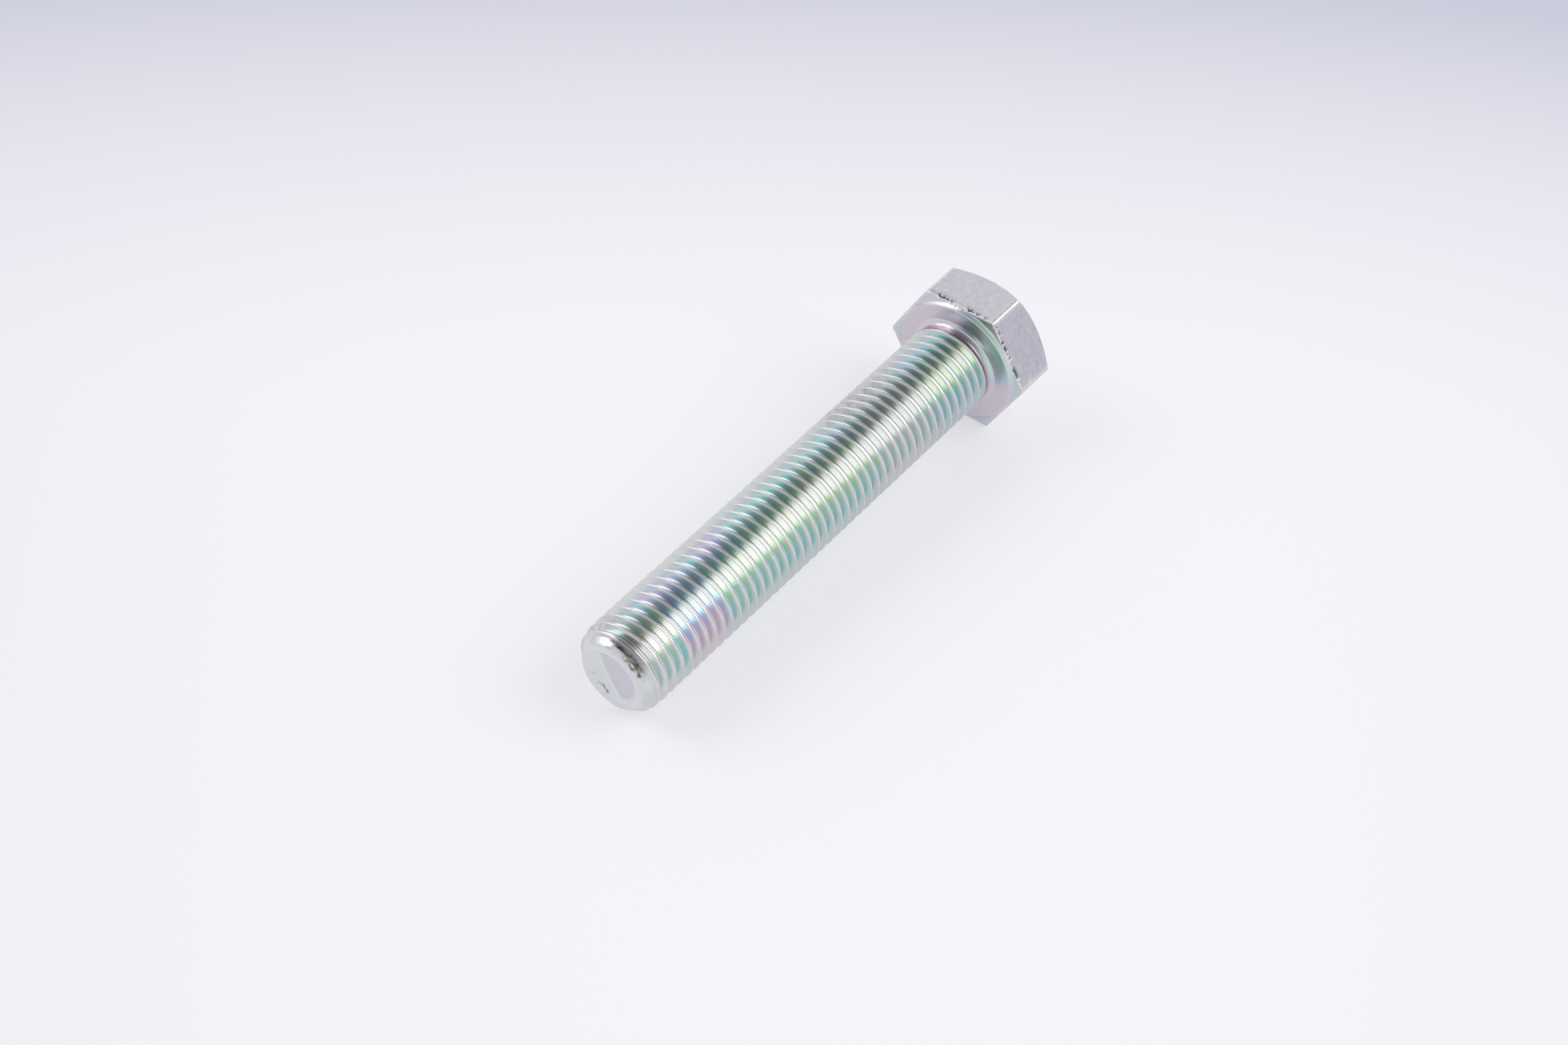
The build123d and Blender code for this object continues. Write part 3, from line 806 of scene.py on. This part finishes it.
# Each face takes its finish from its run: thread, flats, seat with neck, nose, and end.
THREAD, FLATS, SEAT, NOSE, END = range(5)
face_run = np.add.reduceat(corner_map[:, 1] * RUN_SCALE, np.cumsum(face_total) - face_total) / face_total
first_flat, last_flat = HEAD_RUN - RING_RUN * 8.5, HEAD_RUN - RING_RUN * 26.5
finish_edges = np.array([last_flat, first_flat, NECK_END, 88.6, 91.2])
finish_of_band = np.array([SEAT, FLATS, SEAT, THREAD, NOSE, END])
slot_of_face = finish_of_band[np.searchsorted(finish_edges, face_run)]
bolt_mesh.polygons.foreach_set("material_index", slot_of_face.astype(np.int32))
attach(bolt, "root")
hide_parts("hex_bolt")

# ------------------------------------------------------------------ floor
# A plain pale sheet, large enough to run past every view. It is matt board, so it only takes shadow.
FLOOR_HALF = 3.0
floor_mesh = bpy.data.meshes.new("floor")
floor_mesh.from_pydata(
    [(-FLOOR_HALF, -FLOOR_HALF, 0.0), (FLOOR_HALF, -FLOOR_HALF, 0.0), (FLOOR_HALF, FLOOR_HALF, 0.0),
     (-FLOOR_HALF, FLOOR_HALF, 0.0)], [], [(0, 1, 2, 3)])
floor = bpy.data.objects.new("floor", floor_mesh)
bpy.context.scene.collection.objects.link(floor)
board = bpy.data.materials.new("matt_white_board")
board.use_nodes = True
tree = board.node_tree
tree.nodes.clear()
output = tree.nodes.new("ShaderNodeOutputMaterial")
# Painted shade: the board darkens towards lilac grey 70 to 170 mm behind the bolt, and less so to its sides.
spot = node(tree, "TexCoord").node.outputs["Object"]
behind_shade = node(tree, "VectorMath", {0: spot, 1: (0.8, 0.6, 0.0)}, operation="DOT_PRODUCT")
wide = node(tree, "VectorMath", {0: spot, 1: (-0.6, 0.8, 0.0)}, operation="DOT_PRODUCT")
behind_shade = node(tree, "MapRange", {"Value": behind_shade, "From Min": 0.02, "From Max": 0.16})
behind_shade = node(tree, "Math", {0: behind_shade, 1: 2.0}, operation="POWER")
behind_shade = node(tree, "Math", {0: behind_shade, 1: 0.8}, operation="MULTIPLY")
wide = node(tree, "Math", {0: wide, 1: 0.16}, operation="DIVIDE")
wide = node(tree, "Math", {0: wide, 1: wide}, operation="MULTIPLY")
wide = node(tree, "Math", {0: wide, 1: 0.2, 2: behind_shade}, operation="MULTIPLY_ADD", use_clamp=True)
shaded_board_colour = node(tree, "Mix", {0: wide, 6: linear("#EEEEF1"), 7: linear("#C3C4D2")}, data_type="RGBA")
dimmed = node(tree, "Mix", {0: 0.38, 6: shaded_board_colour, 7: (0.0, 0.0, 0.0, 1.0)}, data_type="RGBA")
matt = node(tree, "BsdfDiffuse", {"Color": dimmed})
ray = tree.nodes.new("ShaderNodeLightPath").outputs
seen = node(tree, "Math", {0: ray["Is Glossy Ray"], 1: 0.85}, operation="MULTIPLY")
seen = node(tree, "Math", {0: ray["Is Camera Ray"], 1: seen}, operation="MAXIMUM")
lift = node(tree, "Math", {0: seen, 1: 0.575}, operation="MULTIPLY")
glow = node(tree, "Emission", {"Color": shaded_board_colour, "Strength": lift})
paper = node(tree, "AddShader", {0: matt, 1: glow})
tree.links.new(paper, output.inputs["Surface"])
floor_mesh.materials.append(board)

# ------------------------------------------------------------------ light
# Two square softboxes stand on the left and right of the camera, and a dim pale room fills the rest:
# light walls down to the horizon, and a darker ceiling.


def softbox(name, azimuth, elevation, distance, side, radiance):
    """A square lamp aimed at the bolt's middle, at degrees from +Y towards +X and above the floor.
    Its power is radiance times pi times its area."""
    lamp = bpy.data.lights.new(name, "AREA")
    lamp.shape = "SQUARE"
    lamp.size = side
    lamp.energy = radiance * math.pi * side**2
    box = bpy.data.objects.new(name, lamp)
    a, e = math.radians(azimuth), math.radians(elevation)
    towards = np.array([math.sin(a) * math.cos(e), math.cos(a) * math.cos(e), math.sin(e)])
    across = np.cross([0.0, 0.0, 1.0], towards)
    across = across / np.linalg.norm(across)
    turned = np.eye(4)
    turned[:3, 0], turned[:3, 1], turned[:3, 2] = across, np.cross(towards, across), towards
    turned[:3, 3] = towards * distance
    box.matrix_world = turned.T
    box.visible_camera = False
    bpy.context.scene.collection.objects.link(box)


softbox("left_softbox", -25.0, 40.0, 0.8, 0.5, 1.75)
softbox("right_softbox", 149.0, 44.0, 0.8, 0.62, 1.8)
room = bpy.data.worlds.new("pale_room")
room.use_nodes = True
tree = room.node_tree
tree.nodes.clear()
output = tree.nodes.new("ShaderNodeOutputWorld")
direction = tree.nodes.new("ShaderNodeTexCoord").outputs["Generated"]
climb = node(tree, "SeparateXYZ", {0: direction}).node.outputs["Z"]
BACKDROP = ((0.0, "#F4F4F6"), (0.3, "#FCFCFE"), (0.6, "#ECECF0"), (0.75, "#BABABF"), (0.87, "#98989E"),
            (0.93, "#74747A"), (1.0, "#66666C"))
FRONT = ((0.0, "#F2F2F5"), (0.2, "#E6E6EA"), (0.5, "#BABAC0"), (1.0, "#66666C"))
sides = []
for levels in (FRONT, BACKDROP):
    ramp_output = node(tree, "ValToRGB", {0: climb})
    ramp = ramp_output.node.color_ramp
    for where, hex_colour in levels[1:-1]:
        ramp.elements.new(where).color = linear(hex_colour)
    ramp.elements[0].color = linear(levels[0][1])
    ramp.elements[-1].color = linear(levels[-1][1])
    sides.append(ramp_output)
behind = node(tree, "VectorMath", {0: direction, 1: (0.8, 0.6, 0.0)}, operation="DOT_PRODUCT")
behind = node(tree, "MapRange", {"Value": behind, "From Min": -0.2, "From Max": 0.3},
              interpolation_type="SMOOTHSTEP")
walls = node(tree, "Mix", {0: behind, 6: sides[0], 7: sides[1]}, data_type="RGBA")
sky = node(tree, "Background", {"Color": walls, "Strength": 1.0})
tree.links.new(sky, output.inputs["Surface"])
bpy.context.scene.world = room

# ------------------------------------------------------------------ camera
# It looks down at the bolt from the front left with a short telephoto lens, rolled by under 2 degrees.
camera_data = bpy.data.cameras.new("camera")
camera_data.lens = 68.03
camera_data.sensor_width = 36.0
camera = bpy.data.objects.new("camera", camera_data)
stand = np.array([-282.6, -206.0, 340.75]) * MM
aim = np.array([-8.88, -1.43, 11.0]) * MM
ROLL = math.radians(1.835)
back = (stand - aim) / np.linalg.norm(stand - aim)
right = np.cross([0.0, 0.0, 1.0], back)
right = right / np.linalg.norm(right)
rise = np.cross(back, right)
pose = np.eye(4)
pose[:3, 0] = math.cos(ROLL) * right + math.sin(ROLL) * rise
pose[:3, 1] = math.cos(ROLL) * rise - math.sin(ROLL) * right
pose[:3, 2] = back
pose[:3, 3] = stand
camera.matrix_world = pose.T
bpy.context.scene.collection.objects.link(camera)
bpy.context.scene.camera = camera
bpy.context.scene.view_settings.view_transform = "Standard"
